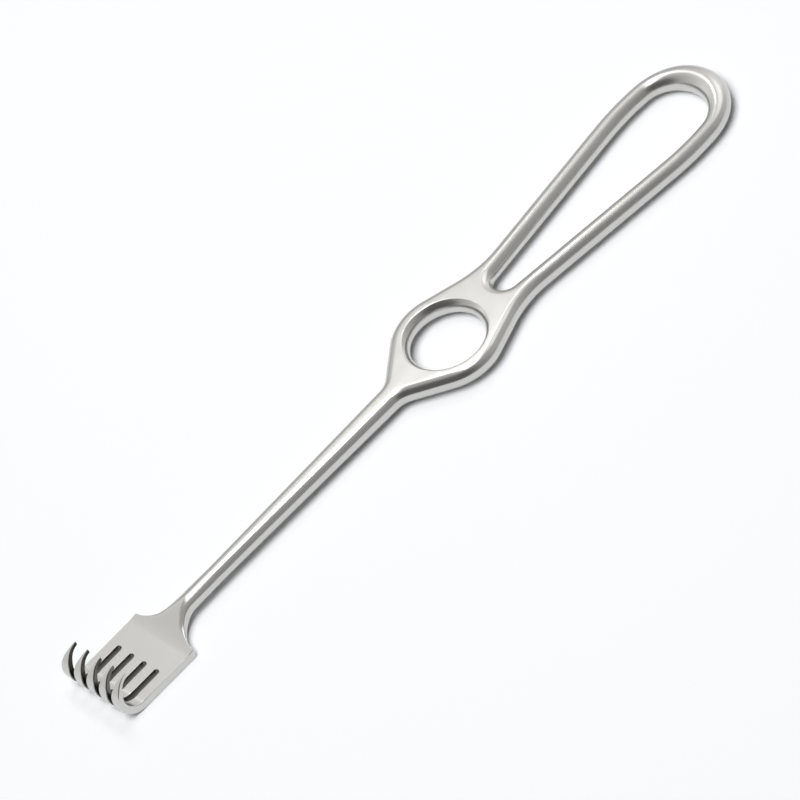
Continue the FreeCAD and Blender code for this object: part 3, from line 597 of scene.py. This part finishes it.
world = bpy.data.worlds.new("room")
bpy.context.scene.world = world
world.use_nodes = True
room, link_room = world.node_tree.nodes, world.node_tree.links.new
sight = room.new("ShaderNodeTexCoord")


def in_room(operation, *values):
    """A Math node in the room's light."""
    return arithmetic(room, link_room, operation, *values)


def towards(axis):
    """How far a direction points along an axis, from -1 to 1: their dot product."""
    product = room.new("ShaderNodeVectorMath")
    product.operation = "DOT_PRODUCT"
    link_room(sight.outputs["Generated"], product.inputs[0])
    product.inputs[1].default_value = axis
    return product.outputs["Value"]


along_room = in_room("MULTIPLY_ADD", towards(far_side), 0.5, 0.5)
across_room = towards(far_left)
ramp = room.new("ShaderNodeValToRGB")
stops = ramp.color_ramp.elements
for at, level in room_by_side[1:-1]:
    stops.new((at + 1) / 2)
for stop, (at, level) in zip(stops, room_by_side):
    stop.position = (at + 1) / 2
    stop.color = (level, level, level, 1)
link_room(along_room, ramp.inputs["Fac"])
side_walls = in_room("MULTIPLY", in_room("MULTIPLY", across_room, across_room), side_wall_gain)
side_walls = in_room("MULTIPLY", side_walls, along_room)
corner_share = s_curve(room, link_room, towards(dark_corner), corner_from, corner_to, 1.0, corner_level)
pane = s_curve(room, link_room, towards(window), window_from, window_to, 0.0, window_level)
level = in_room("MULTIPLY", in_room("ADD", ramp.outputs["Color"], side_walls), corner_share)
level = in_room("ADD", level, pane)
ray = room.new("ShaderNodeLightPath")
share = in_room("MULTIPLY_ADD", ray.outputs["Is Glossy Ray"], 1 - room_on_matt, room_on_matt)
seen = in_room("MULTIPLY", in_room("MULTIPLY", level, share),
               in_room("SUBTRACT", 1.0, ray.outputs["Is Camera Ray"]))
background = room["Background"]
background.inputs["Color"].default_value = (1, 1, 1, 1)
link_room(in_room("ADD", seen, ray.outputs["Is Camera Ray"]), background.inputs["Strength"])


def area_lamp(name, place, sizes, watts):
    """A rectangular lamp at a place, facing down."""
    data = bpy.data.lights.new(name, "AREA")
    data.shape = "RECTANGLE"
    data.size, data.size_y = sizes
    data.energy = watts
    lamp = bpy.data.objects.new(name, data)
    lamp.location = place
    bpy.context.scene.collection.objects.link(lamp)
    return lamp


softbox = area_lamp("softbox", (0.126, 0.1425, 0.5), (0.1, 0.485), 0.58)
softbox.rotation_euler = (0, 0, math.radians(-16.0))
fill_lamp = area_lamp("fill_lamp", (-1.4, -0.75, 4.0), (2.4, 2.4), 162.0)
fill_lamp.rotation_euler = Vector(fill_lamp.location).to_track_quat("Z", "Y").to_euler()
fill_lamp.visible_glossy = False

# Camera, at the photograph's place and angle, with its long lens.
camera_data = bpy.data.cameras.new("camera")
camera = bpy.data.objects.new("camera", camera_data)
bpy.context.scene.collection.objects.link(camera)
right = Vector((0.6728863, -0.6713187, -0.3107333))
up = Vector((0.6798071, 0.3955303, 0.6175906))
turn = Matrix((right, up, right.cross(up))).transposed()
camera.matrix_world = Matrix.Translation((-0.6277674, -1.3391805, 1.5446032)) @ turn.to_4x4()
camera_data.sensor_width = 36.0
camera_data.lens = 401.42
camera_data.clip_end = 20.0
bpy.context.scene.camera = camera
bpy.context.scene.view_settings.view_transform = "Standard"
